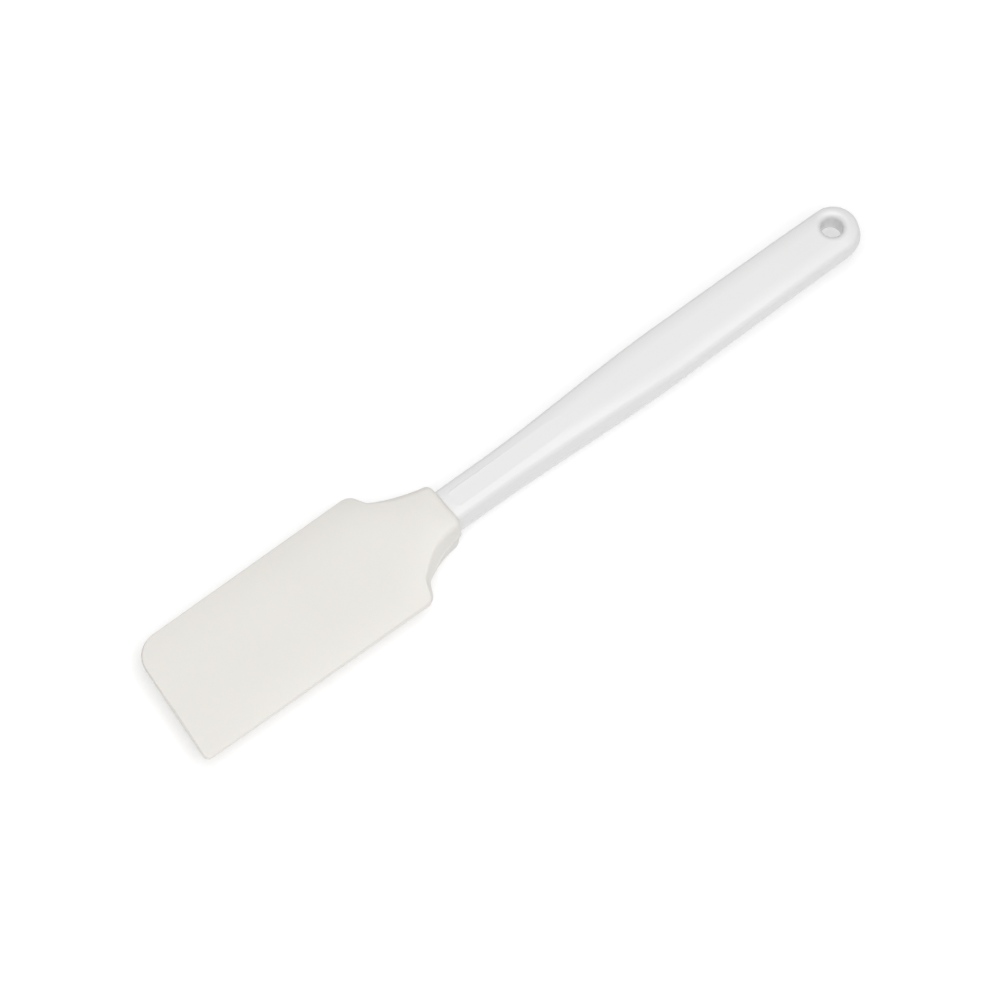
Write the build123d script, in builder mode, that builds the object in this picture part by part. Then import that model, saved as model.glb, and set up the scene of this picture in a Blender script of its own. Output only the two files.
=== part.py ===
"""Kitchen spatula: a moulded plastic handle with a tapered tang, and a silicone blade pushed over it.

Frame: millimetres, +X from the blade's tip towards the hanging hole, +Y towards the
blade's rounded corner, +Z up. The origin is at the middle of the length and width, on
the surface that the spatula lies on.
"""
from build123d import *

from math import atan2, cos, radians, sin, tan
import os

# Overall
overall_length = 305.0

# Blade, seen from above
blade_width = 49.3
tip_setback = 5.6          # how far the rounded corner lies behind the sharp one
tip_width_loss = 0.6       # the blade narrows by this much towards its tip
round_corner_radius = 10.5
sharp_corner_radius = 2.4
shoulder_from_tip = 100.6
shoulder_radius = 4.8
notch_from_tip = 104.0
notch_half_width = 18.2
notch_radius = 1.8
shoulder_skew = 1.1        # the shoulder beside the sharp corner lies this much nearer the tip
collar_from_tip = 123.5    # tip to the collar's mouth
collar_width = 21.0
collar_corner_radius = 2.6
near_waist_bow = 1.6       # how deep the curve between notch and collar dips
far_waist_bow = 0.9        # the same on the rounded corner's side

# Blade, seen from the side
tip_thickness = 2.0
edge_thickness = 1.3
root_thickness = 5.6
root_from_tip = 90.0
collar_height = 19.6
collar_crown = 0.6         # height of the swell that the collar's flat lands cut off
blade_rise = 2.2           # the blade's mid-plane lies this far above the collar's axis
side_draft_deg = 12.0      # slope of the moulded side walls above the mid-plane
under_draft_deg = 5.0      # and below it
overhang = 1.0             # how far the swell runs past the outline that trims it
rim_radius = 1.6
flare_steps = 10           # flats that the flare into the collar is made of

# Handle
collar_side_wall = 2.8     # silicone beside the neck, at the parting line
collar_top_wall = 2.2      # silicone over the neck's crown
grip_width = 20.4
grip_wall_height = 9.2
end_width = 19.2
crown_width = 5.2
crown_height = 1.2
wall_lean_deg = 11.0       # each wall leans in from its parting line
wall_corner_radius = 1.8
widening_from = 143.0      # measured from the tip
widening_to = 223.0
thinning_from = 185.0
thinning_to = 235.0
handle_lift = 4.8          # how far the sweep raises the handle's far end
lift_from = 140.0
grip_steps = 16            # sections that the handle is lofted through

# Hanging hole
hole_diameter = 7.6
hole_from_end = 9.6
hole_offset = 0.9
hole_rim_radius = 2.0

# Panel sunk into the neck
panel_width = 6.4
panel_depth = 0.6          # at the collar, and nothing at its other end
panel_from = 126.6
panel_to = 176.0
panel_corner_radius = 1.6
panel_steps = 6

# Tang and socket
neck_seat = 6.0            # how much of the neck's full section sits in the collar
tang_length = 25.5
tang_side_step = 1.3       # how far the neck stands out beside the tang's root
tang_top_step = 0.6        # how far the neck's wall stands out above the tang's root
tang_tip_width = 10.0
tang_tip_height = 3.0
tang_corner_radius = 1.2
fit_clearance = 0.1


def along(distance_from_tip):
    """X of a place measured from the sharp corner of the tip."""
    return distance_from_tip - overall_length / 2


def ease(distance, start, stop):
    """Runs smoothly from 0 at start to 1 at stop."""
    share = min(max((distance - start) / (stop - start), 0), 1)
    return share * share * (3 - 2 * share)


collar_axis_z = collar_height / 2
parting_z = collar_axis_z + blade_rise
neck_width = collar_width - 2 * collar_side_wall
neck_wall_height = collar_height - 2 * (collar_top_wall + crown_height)
tang_root_width = neck_width - 2 * tang_side_step
tang_root_height = neck_wall_height - 2 * tang_top_step


def section_plane(distance_from_tip, z):
    """An upright plane across the spatula whose own X runs along world Y."""
    return Plane(origin=(along(distance_from_tip), 0, z), x_dir=(0, 1, 0), z_dir=(1, 0, 0))


# Sections of the blade
def swell_half_height(distance):
    """Half the blade's thickness on its mid-line: a slow wedge that flares into the collar."""
    wedge_share = min(distance / root_from_tip, 1)
    wedge = tip_thickness / 2 + (root_thickness - tip_thickness) / 2 * wedge_share
    flare = ease(distance, root_from_tip, collar_from_tip)
    return wedge + (collar_height / 2 + collar_crown - root_thickness / 2) * flare


def swell_mid_z(distance):
    """Height of the lens's middle, which drops from the blade's mid-plane to the collar's axis."""
    flare = ease(distance, root_from_tip, collar_from_tip)
    return parting_z - blade_rise * flare


def swell_section(distance):
    """A lens across the blade, thick on the mid-line and thin at both long edges."""
    reach = blade_width / 2 + overhang
    middle = swell_half_height(distance)
    with BuildSketch(section_plane(distance, swell_mid_z(distance))) as section:
        with BuildLine():
            top = ThreePointArc((-reach, edge_thickness / 2), (0, middle), (reach, edge_thickness / 2))
            side = Line(top @ 1, (reach, -edge_thickness / 2))
            bottom = ThreePointArc(side @ 1, (0, -middle), (-reach, -edge_thickness / 2))
            Line(bottom @ 1, top @ 0)
        make_face()
    return section.sketch


# Sections of the handle
end_centre = overall_length - end_width / 2
grip_centre_z = collar_axis_z + handle_lift
tang_to = collar_from_tip - neck_seat
tang_from = tang_to - tang_length


def lift_at(distance):
    """How far the handle's sweep has risen above the collar's axis."""
    return handle_lift * ease(distance, lift_from, end_centre)


def handle_section(distance, grow=0, half=False):
    """Slanted walls that meet at the parting line, between two crowns with flat middles."""
    widening = ease(distance, widening_from, widening_to)
    tapering = max(distance - widening_to, 0) / (end_centre - widening_to)
    width = neck_width + (grip_width - neck_width) * widening - (grip_width - end_width) * tapering
    thinning = ease(distance, thinning_from, thinning_to)
    wall_height = neck_wall_height - (neck_wall_height - grip_wall_height) * thinning
    side = width / 2 + grow
    wall_top = wall_height / 2 + grow
    brink = side - wall_top * tan(radians(wall_lean_deg))
    flat = brink - crown_width
    top = wall_top + crown_height
    with BuildSketch(section_plane(distance, collar_axis_z + lift_at(distance))) as section:
        with BuildLine():
            Line((side, 0), (brink, wall_top))
            TangentArc((flat, top), (brink, wall_top), tangent=(1, 0))
            Line((0, top), (flat, top))
            if half:
                Line((0, 0), (0, top))
            else:
                mirror(about=Plane.YZ)
            mirror(about=Plane.XZ)
        make_face()
        corners = section.vertices().filter_by(
            lambda corner: abs(abs(corner.Y) - wall_top) < wall_corner_radius / 2)
        fillet(corners, radius=wall_corner_radius)
    return section.sketch


panel_run = panel_to - panel_from
panel_stops = [panel_from + panel_run * step / panel_steps for step in range(panel_steps + 1)]


def recess_section(distance, side):
    """The room over the sunk panel's floor: over it for side 1, and under its twin for side -1."""
    share = (distance - panel_from) / panel_run
    floor = neck_wall_height / 2 + crown_height - panel_depth * (1 - share)
    with BuildSketch(section_plane(distance, collar_axis_z + lift_at(distance))) as section:
        with Locations((0, side * (floor + crown_height / 2))):
            Rectangle(neck_width, crown_height)
    return section.sketch


def tang_section(distance, grow=0):
    """A rounded rectangle that thins towards the tang's tip, on a line that climbs with the blade."""
    share = (distance - tang_from) / tang_length
    width = tang_tip_width + (tang_root_width - tang_tip_width) * share
    height = tang_tip_height + (tang_root_height - tang_tip_height) * share
    with BuildSketch(section_plane(distance, parting_z - blade_rise * share)) as section:
        RectangleRounded(width + 2 * grow, height + 2 * grow, tang_corner_radius + grow)
    return section.sketch


def outline_at(height):
    """The blade's outline at a height above its mid-plane, drawn in by the draft of its side walls."""
    inset = max(height * tan(radians(side_draft_deg)), -height * tan(radians(under_draft_deg)))
    half_width = blade_width / 2 - inset
    tip_half_width = half_width - tip_width_loss / 2
    rake = atan2(tip_setback, 2 * tip_half_width)
    corner_cut = sharp_corner_radius * ((1 + sin(rake)) / cos(rake) - 1)
    mouth = along(collar_from_tip)
    notch = along(notch_from_tip) - inset / 2
    near_notch = notch - shoulder_skew
    mouth_half_width = collar_width / 2 - inset
    notch_at = notch_half_width - inset
    waist_at = (notch_at + mouth_half_width) / 2
    near_dip = ((mouth + near_notch) / 2, near_waist_bow - waist_at)
    far_dip = ((mouth + notch) / 2, waist_at - far_waist_bow)
    rounded_tip = (along(tip_setback) + inset, tip_half_width)
    sharp_tip = (along(-corner_cut) + inset, -tip_half_width)
    far_shoulder = (along(shoulder_from_tip) - inset / 2, half_width)
    near_shoulder = (along(shoulder_from_tip) - inset / 2 - shoulder_skew, -half_width)
    with BuildSketch(Plane.XY.offset(parting_z + height)) as outline:
        with BuildLine():
            near_waist = ThreePointArc((near_notch, -notch_at), near_dip, (mouth, -mouth_half_width))
            far_waist = ThreePointArc((mouth, mouth_half_width), far_dip, (notch, notch_at))
            Line(near_waist @ 1, far_waist @ 0)
            Polyline(far_waist @ 1, far_shoulder, rounded_tip, sharp_tip, near_shoulder, near_waist @ 0)
        make_face()
        rounds = ((rounded_tip, round_corner_radius), (sharp_tip, sharp_corner_radius),
                  (far_shoulder, shoulder_radius), (near_shoulder, shoulder_radius),
                  (far_waist @ 1, notch_radius), (near_waist @ 0, notch_radius),
                  (far_waist @ 0, collar_corner_radius), (near_waist @ 1, collar_corner_radius))
        for corner, radius in rounds:
            place = Vector(corner[0], corner[1]) if isinstance(corner, tuple) else corner
            fillet(outline.vertices().sort_by_distance(place)[0], radius=radius)
    return outline.sketch


with BuildPart() as silicone_blade:
    side_reach = collar_axis_z + collar_crown + blade_rise + overhang
    loft([outline_at(height) for height in (-side_reach, 0, side_reach)], ruled=True)
    swell_stops = [0, root_from_tip / 2, root_from_tip]
    flare_length = collar_from_tip - root_from_tip
    swell_stops += [root_from_tip + flare_length * (step + 1) / flare_steps for step in range(flare_steps)]
    swell_stops += [collar_from_tip + overhang]
    loft([swell_section(distance) for distance in [-overhang] + swell_stops], ruled=True,
         mode=Mode.INTERSECT)
    with BuildSketch(Plane.XZ) as side_view:
        with Locations((along(-overhang), collar_axis_z)):
            Rectangle(collar_from_tip + overhang, collar_height, align=(Align.MIN, Align.CENTER))
        fillet(side_view.vertices().group_by(Axis.X)[-1], radius=rim_radius)
    extrude(amount=blade_width, both=True, mode=Mode.INTERSECT)
    loft([handle_section(distance, fit_clearance) for distance in
          (tang_to - fit_clearance, collar_from_tip, collar_from_tip + overhang)], mode=Mode.SUBTRACT)
    loft([tang_section(distance, fit_clearance) for distance in
          (tang_from - fit_clearance, tang_to)], mode=Mode.SUBTRACT)
silicone_blade.part.label = "silicone_blade"

with BuildPart() as handle:
    grip_stops = [tang_to + (end_centre - tang_to) * step / grip_steps for step in range(grip_steps + 1)]
    loft([handle_section(distance) for distance in grip_stops])
    end_axis = Axis((along(end_centre), 0, 0), (0, 0, -1))
    revolve(handle_section(end_centre, half=True), axis=end_axis, revolution_arc=180)
    loft([tang_section(distance) for distance in (tang_from, tang_to)])
    for side in (1, -1):
        with BuildPart(mode=Mode.PRIVATE) as recess:
            loft([recess_section(distance, side) for distance in panel_stops], ruled=True)
            with BuildSketch() as panel:
                with Locations((along(panel_from), 0)):
                    RectangleRounded(panel_run, panel_width, panel_corner_radius,
                                     align=(Align.MIN, Align.CENTER))
            extrude(amount=overall_length, both=True, mode=Mode.INTERSECT)
        add(recess.part, mode=Mode.SUBTRACT)
    hole_x = along(overall_length - hole_from_end)
    hole_place = Plane(origin=(hole_x, hole_offset, grip_centre_z), z_dir=(0, 0, 1))
    with BuildSketch(hole_place) as hanging_hole:
        Circle(hole_diameter / 2)
    extrude(amount=grip_width, both=True, mode=Mode.SUBTRACT)
    hole_walls = handle.faces().filter_by(GeomType.CYLINDER).filter_by(
        lambda face: abs(face.radius - hole_diameter / 2) < fit_clearance)
    rims = hole_walls.edges().filter_by(GeomType.LINE, reverse=True)
    fillet(rims, radius=hole_rim_radius)
handle.part.label = "handle"

os.makedirs("parts", exist_ok=True)
for piece in (silicone_blade, handle):
    print(piece.part.label, piece.part.volume, piece.part.bounding_box())
    export_step(piece.part, "parts/" + piece.part.label + ".step")
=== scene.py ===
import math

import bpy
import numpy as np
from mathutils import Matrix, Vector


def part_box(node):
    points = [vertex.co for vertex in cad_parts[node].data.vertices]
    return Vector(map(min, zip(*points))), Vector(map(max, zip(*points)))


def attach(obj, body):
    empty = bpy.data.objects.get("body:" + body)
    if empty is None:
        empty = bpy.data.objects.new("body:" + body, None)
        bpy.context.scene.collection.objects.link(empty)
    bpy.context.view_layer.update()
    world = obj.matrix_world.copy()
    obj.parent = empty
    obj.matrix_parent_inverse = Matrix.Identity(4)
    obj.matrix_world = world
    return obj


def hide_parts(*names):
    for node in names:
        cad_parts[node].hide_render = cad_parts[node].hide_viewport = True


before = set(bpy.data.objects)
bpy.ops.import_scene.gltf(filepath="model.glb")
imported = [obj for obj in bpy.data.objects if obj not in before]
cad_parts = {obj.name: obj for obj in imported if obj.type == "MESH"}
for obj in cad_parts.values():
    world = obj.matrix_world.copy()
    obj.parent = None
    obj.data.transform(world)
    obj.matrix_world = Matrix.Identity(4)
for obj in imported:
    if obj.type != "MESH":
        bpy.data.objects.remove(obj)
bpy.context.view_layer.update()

# %% [markdown]
# # A silicone spatula
# The real spatula is two mouldings. A soft silicone blade is pushed over the tang of a hard, glossy
# plastic handle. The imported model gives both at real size, in metres: +X runs from the blade's tip to
# the hanging hole, +Y points to the blade's rounded corner, and +Z is up. The handle's solid already has
# its rounds, so it is kept and only gets a finish. The blade is soft, with long slow curves that a solid
# made of flat cuts can't hold, so it gets a mesh of its own. Far and near mean the two long sides, +Y and
# -Y, as the photograph's camera sees them.

MM = 0.001
OVERALL_LENGTH = 305.0
blade_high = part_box("silicone_blade")[1]
ORIGIN_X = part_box("handle")[1].x / MM - OVERALL_LENGTH
MOUTH = blade_high.x / MM - ORIGIN_X
COLLAR_TOP = blade_high.z / MM
RISE = 2.2  # the blade's mid-plane lies this far above the collar's axis
PARTING_Z = COLLAR_TOP / 2 + RISE
print("tip to mouth", round(MOUTH, 2), "mm, collar", round(COLLAR_TOP, 2), "mm high")
print("parting line", round(PARTING_Z, 2), "mm above the table")

# %% [markdown]
# ## The blade's outline
# Seen from above, the blade is a long rectangle with a raked tip. One tip corner is a wide curve and
# the other is nearly square. Near the handle the outline turns in round two shoulders and follows a
# hollow curve to the collar. A drawn curve object could give this line, but a list of corners with one
# rounding radius each is shorter and says what the designer chose. Lengths are in millimetres from the
# tip. The line stays open at the collar's mouth, where the neck goes in.

# %% The outline as rounded corners
TIP_MIDDLE = (2.65, 0.0)
FAR_CORNER, NEAR_CORNER = (5.6, 24.35), (-0.29, -24.35)
FAR_RADIUS, NEAR_RADIUS = 10.5, 2.4
SHOULDER, SHOULDER_RADIUS = (100.6, 24.65), 4.8
NOTCH, NOTCH_RADIUS = (104.0, 18.2), 1.8
NEAR_SKEW = 1.1  # the near shoulder and notch lie this much nearer the tip
MOUTH_HALF_WIDTH = 10.5
FAR_BOW, NEAR_BOW = 0.9, 1.6  # how deep the hollow waists dip
WAIST_POINTS = 39
ARC_STEP, FEWEST_POINTS = 0.25, 5


def rounded(points, radii):
    """The polyline through points, with each inner corner rounded by its radius."""
    points = [np.array(point, float) for point in points]
    path = [points[0]]
    for before, corner, after, radius in zip(points, points[1:], points[2:], radii):
        if radius == 0:
            path.append(corner)
            continue
        back = (before - corner) / np.linalg.norm(before - corner)
        ahead = (after - corner) / np.linalg.norm(after - corner)
        opening = math.acos(float(back @ ahead))
        turn = math.pi - opening
        start = corner + back * radius / math.tan(opening / 2)
        stop = corner + ahead * radius / math.tan(opening / 2)
        bisector = (back + ahead) / np.linalg.norm(back + ahead)
        centre = corner + bisector * radius / math.sin(opening / 2)
        for share in np.linspace(0, 1, max(FEWEST_POINTS, int(radius * turn / ARC_STEP))):
            from_start = (start - centre) * math.sin((1 - share) * turn)
            from_stop = (stop - centre) * math.sin(share * turn)
            path.append(centre + (from_start + from_stop) / math.sin(turn))
    return np.array(path + [points[-1]])


def side_of_blade(sign, corner, radius, skew, bow):
    """One long side of the blade, from the middle of the tip to the mouth."""
    shoulder, notch = SHOULDER[0] - skew, NOTCH[0] - skew
    share = np.linspace(0, 1, WAIST_POINTS + 1)[1:]
    along = notch + (MOUTH - notch) * share
    across = NOTCH[1] + (MOUTH_HALF_WIDTH - NOTCH[1]) * share - 4 * share * (1 - share) * bow
    waist = list(zip(along, sign * across))
    points = [TIP_MIDDLE, corner, (shoulder, sign * SHOULDER[1]), (notch, sign * NOTCH[1])] + waist
    return rounded(points, [radius, SHOULDER_RADIUS, NOTCH_RADIUS] + [0] * (WAIST_POINTS - 1))


far_side = side_of_blade(1, FAR_CORNER, FAR_RADIUS, 0.0, FAR_BOW)
near_side = side_of_blade(-1, NEAR_CORNER, NEAR_RADIUS, NEAR_SKEW, NEAR_BOW)
outline = np.vstack([near_side[::-1], far_side[1:]])
print("outline points", len(outline))

# %% [markdown]
# ## The blade's thickness
# The blade is a slow wedge: 2 mm thick at the tip and 5.6 mm at the root. Across it the face is nearly
# flat and rolls off towards both long edges; a power of 4 gives that, where a plain arc would sag too
# early. After the root it flares until it covers the neck, and there it does become an arc, with a flat
# land on top where the arc would rise above the collar.

# %% The face of the blade
EDGE_HALF, TIP_HALF, ROOT_HALF = 0.65, 1.0, 2.8
ROOT = 90.0
REACH, ROLL_POWER = 25.5, 4
CROWN = 0.6  # how far the arc would rise above the collar
LAND_BLEND = 0.5  # heights closer than this melt together at the land's edge


def ease(value, start, stop):
    """0 before start, 1 after stop, and smooth in between."""
    share = np.clip((value - start) / (stop - start), 0, 1)
    return share * share * (3 - 2 * share)


def smooth_min(a, b, width):
    """The smaller of two heights, rounded where they are closer than width."""
    overlap = np.maximum(0, 1 - np.abs(a - b) / width)
    return np.minimum(a, b) - width * overlap * overlap / 4


def swell(along, across, sign):
    """Height of the face above the parting line (sign 1) or below it (sign -1), before the walls cut it."""
    flare = ease(along, ROOT, MOUTH)
    middle = TIP_HALF + (ROOT_HALF - TIP_HALF) * np.clip(along / ROOT, 0, 1)
    middle = middle + (COLLAR_TOP / 2 + CROWN - ROOT_HALF) * flare
    bulge = middle - EDGE_HALF
    radius = (REACH ** 2 + bulge ** 2) / (2 * bulge)
    arc = radius - np.sqrt(radius ** 2 - across ** 2)
    roll = bulge * (across / REACH) ** ROLL_POWER
    height = middle - roll - (arc - roll) * flare - sign * RISE * flare
    return smooth_min(height, COLLAR_TOP / 2 - sign * RISE, LAND_BLEND)


print("root is", round(2 * float(swell(np.array(ROOT), np.array(0.0), 1)), 2), "mm thick")

# %% [markdown]
# ## Walls and rounds
# The side walls lean in from the parting line, where the two halves of the mould met and left a hair of
# a ridge. The wall at the near waist leans most, as the broad flank in the photograph shows. Sculpting
# could make this, but a height worked out from the distance to the outline keeps every edge even: first
# the ridge, then the wall, then a round of a known radius, then the face.

# %% Heights near the outline
NEAR_WAIST_DRAFT, FAR_WAIST_DRAFT = 29.0, 14.0
MOUTH_DRAFT, UNDER_DRAFT = 12.0, 5.0
WAIST_TO_MOUTH = (108.0, 122.0)  # stretch in which the waist's lean becomes the mouth's
RIDGE, RIDGE_HALF = 0.1, 0.14
FINE_ROUND, NEAR_ROUND, FAR_ROUND, UNDER_ROUND = 0.35, 1.8, 2.2, 1.3
FINE_TO_BROAD = (98.0, 112.0)  # stretch in which the blade's fine round grows to the collar's
ROUND_LIMIT = 0.75  # a round takes up no more than this share of the wall


def wall_run(along, across, sign):
    """How far the side wall leans in for each millimetre of height: most at the near waist."""
    if sign < 0:
        return math.tan(math.radians(UNDER_DRAFT))
    waist = np.where(across > 0, FAR_WAIST_DRAFT, NEAR_WAIST_DRAFT)
    return np.tan(np.radians(waist + (MOUTH_DRAFT - waist) * ease(along, *WAIST_TO_MOUTH)))


def edge_round(along, across, sign, height):
    """Radius of the round between wall and face: fine along the blade and broader on the collar."""
    broad = np.where(across > 0, FAR_ROUND, NEAR_ROUND) if sign > 0 else UNDER_ROUND
    radius = FINE_ROUND + (broad - FINE_ROUND) * ease(along, *FINE_TO_BROAD)
    return np.minimum(radius, ROUND_LIMIT * (height - RIDGE_HALF))


def distance_to_outline(points):
    """How far each point is from the nearest piece of the outline."""
    starts, runs = outline[:-1], np.diff(outline, axis=0)
    squares = (runs ** 2).sum(1)
    nearest = np.full(len(points), np.inf)
    for start, run, square in zip(starts, runs, squares):
        away = points - start
        share = np.clip(away @ run / square, 0, 1)
        nearest = np.minimum(nearest, ((away - share[:, None] * run) ** 2).sum(1))
    return np.sqrt(nearest)


def wall_foot(height, radius, run):
    """Distance from the outline at which the wall gives way to its round."""
    return RIDGE + (height - radius - RIDGE_HALF) * run


def face_height(points, sign):
    """Distance from the parting line up (sign 1) or down (sign -1) to the blade's surface."""
    inset = distance_to_outline(points)
    face = swell(points[:, 0], points[:, 1], sign)
    radius = edge_round(points[:, 0], points[:, 1], sign, face)
    ridge = RIDGE_HALF * np.sqrt(1 - (1 - np.clip(inset / RIDGE, 0, 1)) ** 2)
    run = wall_run(points[:, 0], points[:, 1], sign)
    wall = ridge + np.maximum(inset - RIDGE, 0) / run
    short = np.clip(wall_foot(face, radius, run) + radius - inset, 0, radius)
    return np.minimum(wall, face - radius + np.sqrt(radius ** 2 - short ** 2))


root_heights = face_height(np.array([[ROOT, -20.0], [ROOT, 0.0], [ROOT, 20.0]]), 1)
print("face above the parting line across the root", root_heights.round(2), "mm")

# %% [markdown]
# ## Rows and columns
# A grid of quads bends smoothly and takes an even light, so the blade is a sleeve of rings: each ring
# goes over the top and back underneath. The rings are crowded where the form is tight, at the tip, the
# shoulders and the rim. Near the tip they turn to run along the raked edge and its rounded corners.

# %% The grid seen from above
TURN = 30.0  # within this distance of the tip the rings turn along its edge
RIM_LENGTH, RIM_DEPTH = 2.2, 1.6
HALF_COLUMNS = 34
COLUMNS = 2 * HALF_COLUMNS - 1
TIP_STATIONS = (0, 0.03, 0.07, 0.12, 0.17, 0.22, 0.27, 0.33, 0.42, 0.55, 0.75, 1.0, 1.4, 1.9, 2.5)
STATION_RUNS = ((3.2, 14, 0.7), (14, 94, 1.6), (94, 96, 0.5), (96, 108, 0.16), (108, MOUTH - RIM_LENGTH, 0.4))
BEAD_INSETS = (0, 0.015, 0.04, 0.07, RIDGE)
WALL_SHARES = (0.35, 0.7, 1)
ROUND_ANGLES = (20, 38, 54, 68, 80, 90)
ROUND_MARGIN = 0.3
CROWDING = 1.25  # above 1, the columns crowd towards the edges
stations = np.concatenate([TIP_STATIONS] + [np.arange(*run) for run in STATION_RUNS] + [[MOUTH - RIM_LENGTH]])


def split_at_corner(side, corner):
    """The tip part of a side and its long part, cut in the middle of the tip corner."""
    middle = int(np.argmin(np.linalg.norm(side - np.array(corner), axis=1)))
    return side[:middle + 1], side[middle:]


near_tip, near_long = split_at_corner(near_side, NEAR_CORNER)
far_tip, far_long = split_at_corner(far_side, FAR_CORNER)
tip_edge = np.vstack([near_tip[::-1], far_tip[1:]])


def insets_of(end, width, sign):
    """Columns of one half of a ring as distances from its end on the outline, crowded at the wall."""
    height = float(swell(end[0], end[1], sign))
    radius = float(edge_round(end[0], end[1], sign, height))
    foot = float(wall_foot(height, radius, wall_run(end[0], end[1], sign)))
    wall = [RIDGE + (foot - RIDGE) * share for share in WALL_SHARES]
    brow = [foot + radius * (1 - math.cos(math.radians(angle))) for angle in ROUND_ANGLES]
    brow.append(brow[-1] + ROUND_MARGIN)
    rest = HALF_COLUMNS - len(BEAD_INSETS) - len(wall) - len(brow)
    share = np.linspace(0, 1, rest + 1)[1:] ** CROWDING
    return np.concatenate([BEAD_INSETS, wall, brow, brow[-1] + (width - brow[-1]) * share])


def ring_from_above(station, sign):
    """The points of one half-ring, above or below the parting line, from the near to the far edge."""
    fade = (1 - station / TURN) ** 2 if station < TURN else 0.0
    ends = []
    for side in (near_long, far_long):
        along = station + side[0, 0] * fade
        ends.append(np.array([along, np.interp(along, side[:, 0], side[:, 1])]))
    near, far = ends
    width = np.linalg.norm(far - near)
    near_columns, far_columns = insets_of(near, width / 2, sign), insets_of(far, width / 2, sign)
    share = np.concatenate([near_columns / width, 1 - far_columns[-2::-1] / width])
    ring = near + (far - near) * share[:, None]
    run = np.concatenate([[0], np.cumsum(np.linalg.norm(np.diff(tip_edge, axis=0), axis=1))])
    on_tip = np.stack([np.interp(share * run[-1], run, tip_edge[:, i]) for i in (0, 1)], axis=1)
    straight = near_long[0] + (far_long[0] - near_long[0]) * share[:, None]
    return ring + fade * (on_tip - straight)


print("rings", len(stations), "of", COLUMNS, "points from edge to edge")

# %% [markdown]
# ## The rim and the socket
# The collar ends in a soft rim, and inside it is the socket: first the shape of the neck, then a step
# down to the tapered tang. It is hidden until the blade is pulled off, and then it has to be a real
# hole. A boolean cut would leave ragged shading, so the same rings simply turn over the rim and go on
# inwards.

# %% Loops of the neck and the tang
GAP = 0.12
NECK_SIDE, NECK_WALL, NECK_TOP, NECK_CROWN = 7.7, 6.4, 7.6, 5.2
NECK_LEAN, NECK_ROUND = math.tan(math.radians(11.0)), 1.8
CROWN_SHIFT = 0.15  # the tangents of the crown's arc meet about this far outside its middle
CROWN_START, CROWN_POINTS = 0.25, 7  # the brink's round takes the place of the crown's first quarter
SEAT, TANG_LENGTH, TANG_END_GAP = 6.0, 25.5, 0.2
TANG_ROOT, TANG_TIP = (12.8, 11.6), (10.0, 3.0)
WALL_COLUMNS = 11


def resample(path, count):
    """The same path with count points at even spacing."""
    run = np.concatenate([[0], np.cumsum(np.linalg.norm(np.diff(path, axis=0), axis=1))])
    at = np.linspace(0, run[-1], count)
    return np.stack([np.interp(at, run, path[:, i]) for i in (0, 1)], axis=1)


def half_loop(quarter, wall_end):
    """A loop's upper half, near to far, from its far quarter; wall_end is the index of the wall's top."""
    wall = resample(quarter[:wall_end + 1], WALL_COLUMNS)
    crown = resample(quarter[wall_end:], HALF_COLUMNS + 1 - WALL_COLUMNS)
    far = np.vstack([wall, crown[1:]])
    near = far * np.array([-1, 1])
    return np.vstack([near, far[-2::-1]])


def neck_loop():
    """The neck's section and its gap: a leaning wall, a soft brink and a low crown."""
    brink = NECK_SIDE - NECK_WALL * NECK_LEAN
    wall_top, flat = np.array([brink, NECK_WALL]), np.array([brink - NECK_CROWN, NECK_TOP])
    control = np.array([brink - NECK_CROWN / 2 + CROWN_SHIFT, NECK_TOP])
    bend = np.linspace(CROWN_START, 1, CROWN_POINTS)[:, None]
    arc = (1 - bend) ** 2 * wall_top + 2 * bend * (1 - bend) * control + bend ** 2 * flat
    corners = np.vstack([[NECK_SIDE, 0], wall_top, arc, [0, NECK_TOP]])
    quarter = rounded(corners, [NECK_ROUND] + [0] * len(arc))
    wall_end = int(np.argmin(np.linalg.norm(quarter - wall_top, axis=1)))
    return half_loop(quarter + GAP * (quarter > 0), wall_end)


def tang_loop(size):
    """The tang's section and its gap."""
    wide, tall = size[0] / 2 + GAP, size[1] / 2 + GAP
    return half_loop(np.array([[wide, 0], [wide, tall], [0, tall]]), 1)


print("neck loop", len(neck_loop()), "points, tang loop", len(tang_loop(TANG_ROOT)), "points")

# %% Rings over the rim and down the socket
RIM_RINGS = 8
LIP_SHARE = 0.75  # the lip's ring lies this far from the rim to the neck
HAIR = 0.001  # the last ring of the rim takes its shape this little before the mouth
SOCKET_DEPTHS = (0.25, 2, 4, SEAT + GAP)


def full_ring(upper, lower, along):
    """A closed ring in space from its upper half and its lower half, without repeating the edges."""
    loop = np.vstack([upper, lower[-2:0:-1]])
    along = np.broadcast_to(along, len(loop))
    return np.column_stack([along, loop])


def outer_ring(station):
    """A ring on the blade's outside."""
    above, below = ring_from_above(station, 1), ring_from_above(station, -1)
    top = np.column_stack([above[:, 1], face_height(above, 1)])
    bottom = np.column_stack([below[:, 1], -face_height(below, -1)])
    return full_ring(top, bottom, np.concatenate([above[:, 0], below[-2:0:-1, 0]]))


def inner_ring(loop, along, drop):
    """A ring in the socket, from a loop that lies drop below the parting line."""
    upper = loop + np.array([0, -drop])
    lower = loop * np.array([1, -1]) + np.array([0, -drop])
    return full_ring(upper, lower, along)


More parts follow.
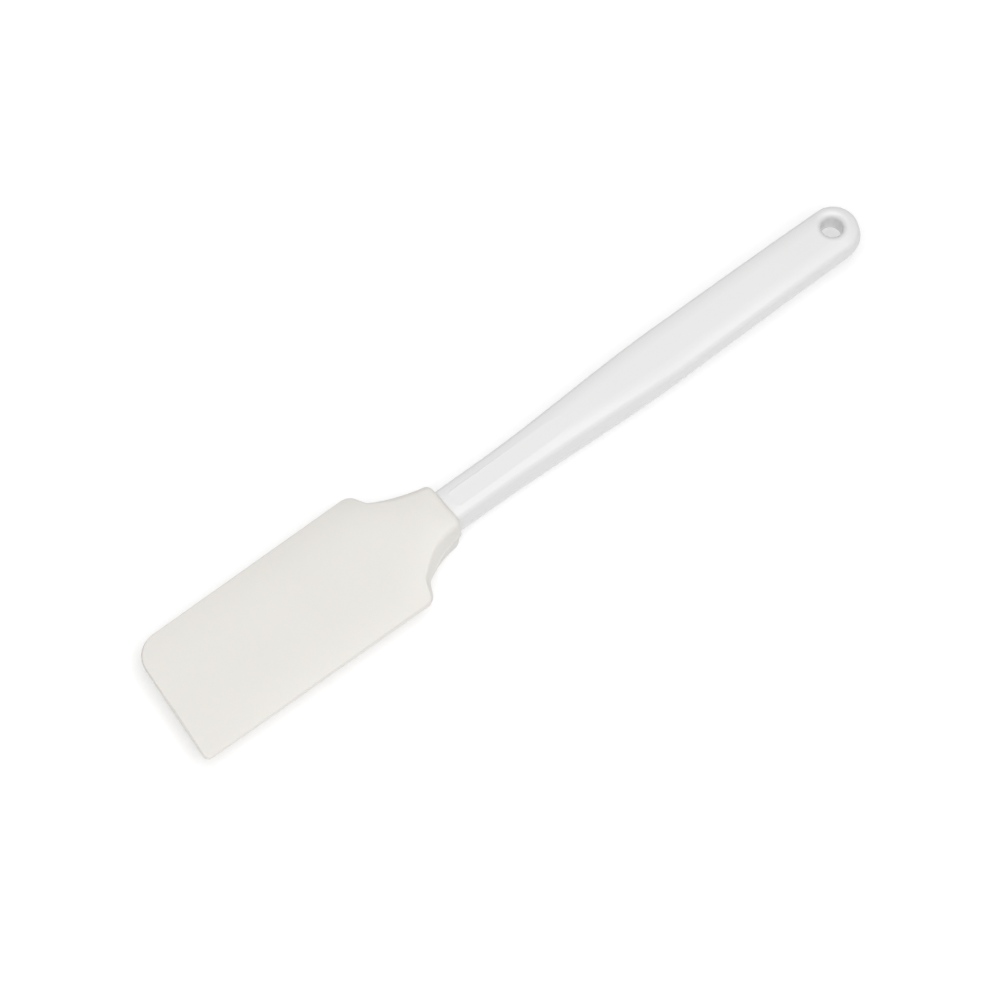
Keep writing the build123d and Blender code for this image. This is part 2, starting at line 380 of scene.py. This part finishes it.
rings = [outer_ring(station) for station in stations]
throat = inner_ring(neck_loop(), MOUTH, RISE)
for angle in np.linspace(0, math.pi / 2, RIM_RINGS + 1)[1:]:
    along = MOUTH - RIM_LENGTH * (1 - math.sin(angle))
    rim = outer_ring(min(along, MOUTH - HAIR))
    reach = throat[:, 1:] - rim[:, 1:]
    rim[:, 1:] += reach * RIM_DEPTH * (1 - math.cos(angle)) / np.linalg.norm(reach, axis=1)[:, None]
    rim[:, 0] = along
    rings.append(rim)
lip = rings[-1] + (throat - rings[-1]) * LIP_SHARE
lip[:, 0] = MOUTH
rings.append(lip)
for depth in SOCKET_DEPTHS:
    rings.append(inner_ring(neck_loop(), MOUTH - depth, RISE))
rings.append(inner_ring(tang_loop(TANG_ROOT), MOUTH - SEAT - GAP, RISE))
rings.append(inner_ring(tang_loop(TANG_TIP), MOUTH - SEAT - TANG_LENGTH - TANG_END_GAP, 0))
print("rings with rim and socket", len(rings))

# %% [markdown]
# ## From rings to a mesh
# The first ring lies flat on the tip's edge, so its upper and lower points are the same points. Every
# other ring is joined to its neighbour with quads, and the socket's end is closed with a small fan.

# %% The blade's mesh
def sleeve(name, rings, columns):
    """A mesh from rings; the first ring is folded flat and the last one is closed."""
    around = len(rings[0])
    points = [rings[0][:columns]]
    index = [[j if j < columns else around - j for j in range(around)]]
    offset = columns
    for ring in rings[1:]:
        points.append(ring)
        index.append(list(range(offset, offset + around)))
        offset += around
    points.append(rings[-1].mean(0)[None, :])
    faces = []
    for a, b in zip(index, index[1:]):
        for j in range(around):
            k = (j + 1) % around
            faces.append(list(dict.fromkeys([a[j], b[j], b[k], a[k]])))
    faces += [[index[-1][j], offset, index[-1][(j + 1) % around]] for j in range(around)]
    points = (np.vstack(points) + np.array([ORIGIN_X, 0, PARTING_Z])) * MM
    mesh = bpy.data.meshes.new(name)
    mesh.from_pydata(points.tolist(), [], [face for face in faces if len(face) > 2])
    mesh.validate()
    mesh.update()
    mesh.shade_smooth()
    return mesh


blade = bpy.data.objects.new("blade_and_collar", sleeve("blade_and_collar", rings, COLUMNS))
bpy.context.scene.collection.objects.link(blade)
print("blade faces", len(blade.data.polygons))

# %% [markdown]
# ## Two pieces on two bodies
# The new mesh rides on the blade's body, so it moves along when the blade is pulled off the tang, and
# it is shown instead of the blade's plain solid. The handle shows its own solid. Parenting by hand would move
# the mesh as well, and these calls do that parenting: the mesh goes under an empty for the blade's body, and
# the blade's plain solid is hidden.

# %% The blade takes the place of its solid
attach(blade, "blade")
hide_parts("silicone_blade")
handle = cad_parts["handle"]
print("pieces:", blade.name, "and", handle.name)


# %% [markdown]
# ## Writing a finish as an expression
# Node trees are easier to read as sums. One small class holds a socket of a tree, and adding or
# multiplying two of them adds the Math node that does it. Everything else comes from one method.

# %% A socket that can be added and multiplied
class Signal:
    """A value in a node tree."""

    def __init__(self, tree, socket=None):
        self.tree, self.socket = tree, socket

    def node(self, kind, settings=None, inputs=None, output=0):
        """A new node of this kind: settings first, then the values or links of its sockets."""
        made = self.tree.nodes.new(kind)
        for name, value in (settings or {}).items():
            setattr(made, name, value)
        for name, value in (inputs or {}).items():
            if isinstance(value, Signal):
                self.tree.links.new(value.socket, made.inputs[name])
            else:
                made.inputs[name].default_value = value
        return Signal(self.tree, made.outputs[output])

    def math(self, operation, a, b):
        """A Math node on two values."""
        return self.node("ShaderNodeMath", {"operation": operation}, {0: a, 1: b})

    def __add__(self, other):
        return self.math("ADD", self, other)

    def __sub__(self, other):
        return self.math("SUBTRACT", self, other)

    def __mul__(self, other):
        return self.math("MULTIPLY", self, other)

    def __rsub__(self, other):
        return self.math("SUBTRACT", other, self)

    __radd__, __rmul__ = __add__, __mul__


# %% A material from a pattern and even values
def finish_material(name, build, fixed):
    """A material whose changing parts come from build and whose even parts are set directly."""
    material = bpy.data.materials.new(name)
    material.use_nodes = True
    tree = material.node_tree
    shader = next(node for node in tree.nodes if node.type == "BSDF_PRINCIPLED")
    for socket, value in fixed.items():
        shader.inputs[socket].default_value = value
    for socket, signal in build(Signal(tree)).items():
        tree.links.new(signal.socket, shader.inputs[socket])
    print("material", name, "has", len(tree.nodes), "nodes")
    return material


# %% [markdown]
# ## Silicone and plastic
# Silicone is a warm white, with a soft skin that scatters light just under its surface and a faint,
# cloudy unevenness. The handle is a cooler white under a thin gloss, with faint ripples about a
# centimetre apart. Both are nearly even, so the patterns are kept faint: a finish that is perfectly even
# looks like no material at all.

# %% The two finishes
def silicone_pattern(start):
    """Faint clouds in the colour and the dullness, and a skin with a very fine grain."""
    place = start.node("ShaderNodeTexCoord", output="Object")
    cloud = start.node("ShaderNodeTexNoise", inputs={"Vector": place, "Scale": 38.0, "Detail": 3.0})
    grain = start.node("ShaderNodeTexNoise", inputs={"Vector": place, "Scale": 2600.0, "Detail": 2.0})
    tint = start.node("ShaderNodeMix", {"data_type": "RGBA"},
                      {0: cloud, 6: (0.720, 0.702, 0.667, 1), 7: (0.743, 0.726, 0.692, 1)}, output=2)
    skin = start.node("ShaderNodeBump", inputs={"Height": grain, "Strength": 0.08, "Distance": 0.0002})
    return {"Base Color": tint, "Roughness": 0.40 + 0.08 * cloud, "Normal": skin}


def plastic_pattern(start):
    """Fainter clouds, duller where the colour is darker, and a skin with soft ripples."""
    place = start.node("ShaderNodeTexCoord", output="Object")
    cloud = start.node("ShaderNodeTexNoise", inputs={"Vector": place, "Scale": 30.0, "Detail": 2.0})
    ripple = start.node("ShaderNodeTexNoise", inputs={"Vector": place, "Scale": 90.0, "Detail": 1.0})
    tint = start.node("ShaderNodeMix", {"data_type": "RGBA"},
                      {0: cloud, 6: (0.735, 0.734, 0.733, 1), 7: (0.755, 0.754, 0.753, 1)}, output=2)
    skin = start.node("ShaderNodeBump", inputs={"Height": ripple, "Strength": 0.05, "Distance": 0.0004})
    return {"Base Color": tint, "Roughness": 0.42 + 0.06 * (1 - cloud), "Normal": skin}


silicone = finish_material("warm_white_silicone", silicone_pattern,
                           {"Subsurface Weight": 0.12, "Subsurface Radius": (0.9, 0.6, 0.4),
                            "Subsurface Scale": 0.002, "IOR": 1.41})
plastic = finish_material("cool_white_plastic", plastic_pattern,
                          {"Coat Weight": 0.22, "Coat Roughness": 0.14, "Specular IOR Level": 0.42})
for piece, material in ((blade, silicone), (handle, plastic)):
    piece.data.materials.clear()
    piece.data.materials.append(material)

# %% [markdown]
# ## The studio
# A product photograph like this one is taken on a pale sweep under one large soft light. One wide lamp
# hangs over the spatula, a little towards the blade's tip and its near side, and the world is dimmer at
# the horizon than overhead, so the walls stay darker than the faces. The photograph has no shadow at
# all. A floor that only reflects would show a dark one, so this floor also glows a little by itself.

# %% The floor
HALF_FLOOR = 30.0
floor_mesh = bpy.data.meshes.new("studio_floor")
floor_corners = [(x * HALF_FLOOR, y * HALF_FLOOR, 0) for x, y in ((-1, -1), (1, -1), (1, 1), (-1, 1))]
floor_mesh.from_pydata(floor_corners, [], [(0, 1, 2, 3)])
floor = bpy.data.objects.new("studio_floor", floor_mesh)
bpy.context.scene.collection.objects.link(floor)
floor_finish = bpy.data.materials.new("floor_white")
floor_finish.use_nodes = True
floor_shader = next(node for node in floor_finish.node_tree.nodes if node.type == "BSDF_PRINCIPLED")
floor_shader.inputs["Base Color"].default_value = (0.68, 0.68, 0.68, 1)
floor_shader.inputs["Roughness"].default_value = 0.9
floor_shader.inputs["Specular IOR Level"].default_value = 0.1
floor_shader.inputs["Emission Color"].default_value = (1, 1, 1, 1)
floor_shader.inputs["Emission Strength"].default_value = 0.34
floor_mesh.materials.append(floor_finish)
print("floor", 2 * HALF_FLOOR, "m wide")

# %% The world and the lamp
HORIZON_GLOW, ZENITH_GLOW = 0.10, 0.66
LAMP_PLACE, LAMP_SIZE, LAMP_POWER = Vector((-0.28, -0.50, 1.80)), 2.0, 29.5

world = bpy.data.worlds.new("studio_world")
world.use_nodes = True
background = world.node_tree.nodes["Background"]
sky = Signal(world.node_tree)
direction = sky.node("ShaderNodeTexCoord", output="Generated")
height = sky.node("ShaderNodeSeparateXYZ", inputs={0: direction}, output=2)
glow = sky.node("ShaderNodeMapRange", inputs={
    "Value": height, "From Min": 0.0, "From Max": 1.0, "To Min": HORIZON_GLOW, "To Max": ZENITH_GLOW})
world.node_tree.links.new(glow.socket, background.inputs["Strength"])
background.inputs["Color"].default_value = (1, 1, 1, 1)
bpy.context.scene.world = world

lamp = bpy.data.lights.new("overhead_softbox", "AREA")
lamp.shape, lamp.size, lamp.energy = "DISK", LAMP_SIZE, LAMP_POWER
softbox = bpy.data.objects.new("overhead_softbox", lamp)
softbox.location = LAMP_PLACE
softbox.rotation_euler = (-LAMP_PLACE).to_track_quat("-Z", "Y").to_euler()
bpy.context.scene.collection.objects.link(softbox)
bpy.context.scene.view_settings.view_transform = "Standard"
print("world and lamp are in place")

# %% [markdown]
# ## The camera
# The photograph looks down at 65 degrees from the blade's tip and near side, with so little perspective
# that the lens must be long and far away. The camera's axes are worked out from the spatula's own
# direction in the picture, and it aims a little off the spatula's middle, as the picture does.

# %% The camera
CAMERA_RIGHT = Vector((0.7785, -0.6253, 0.0565))
CAMERA_UP = Vector((0.5497, 0.7227, 0.4193))
CAMERA_BACK = Vector((-0.303, -0.295, 0.906))
CAMERA_DISTANCE = 10.0
AIM_LEFT, AIM_DOWN = 0.00173, 0.01199
SENSOR, IMAGE, PIXELS_PER_MM = 36.0, 1000, 2.910
CLIP_END = 50
aim = Vector((0, 0, PARTING_Z * MM)) - CAMERA_RIGHT * AIM_LEFT - CAMERA_UP * AIM_DOWN
camera_data = bpy.data.cameras.new("product_camera")
camera_data.sensor_width = SENSOR
camera_data.lens = SENSOR * PIXELS_PER_MM * CAMERA_DISTANCE / MM / IMAGE
camera_data.clip_end = CLIP_END
camera = bpy.data.objects.new("product_camera", camera_data)
turn = Matrix((CAMERA_RIGHT, CAMERA_UP, CAMERA_BACK)).transposed().to_quaternion()
camera.matrix_world = Matrix.Translation(aim + CAMERA_BACK * CAMERA_DISTANCE) @ turn.to_matrix().to_4x4()
bpy.context.scene.collection.objects.link(camera)
bpy.context.scene.camera = camera
print("lens", round(camera_data.lens, 1), "mm")

# %% [markdown]
# ## The end
# The last call brings the positions of all pieces up to date.

# %% The end
bpy.context.view_layer.update()
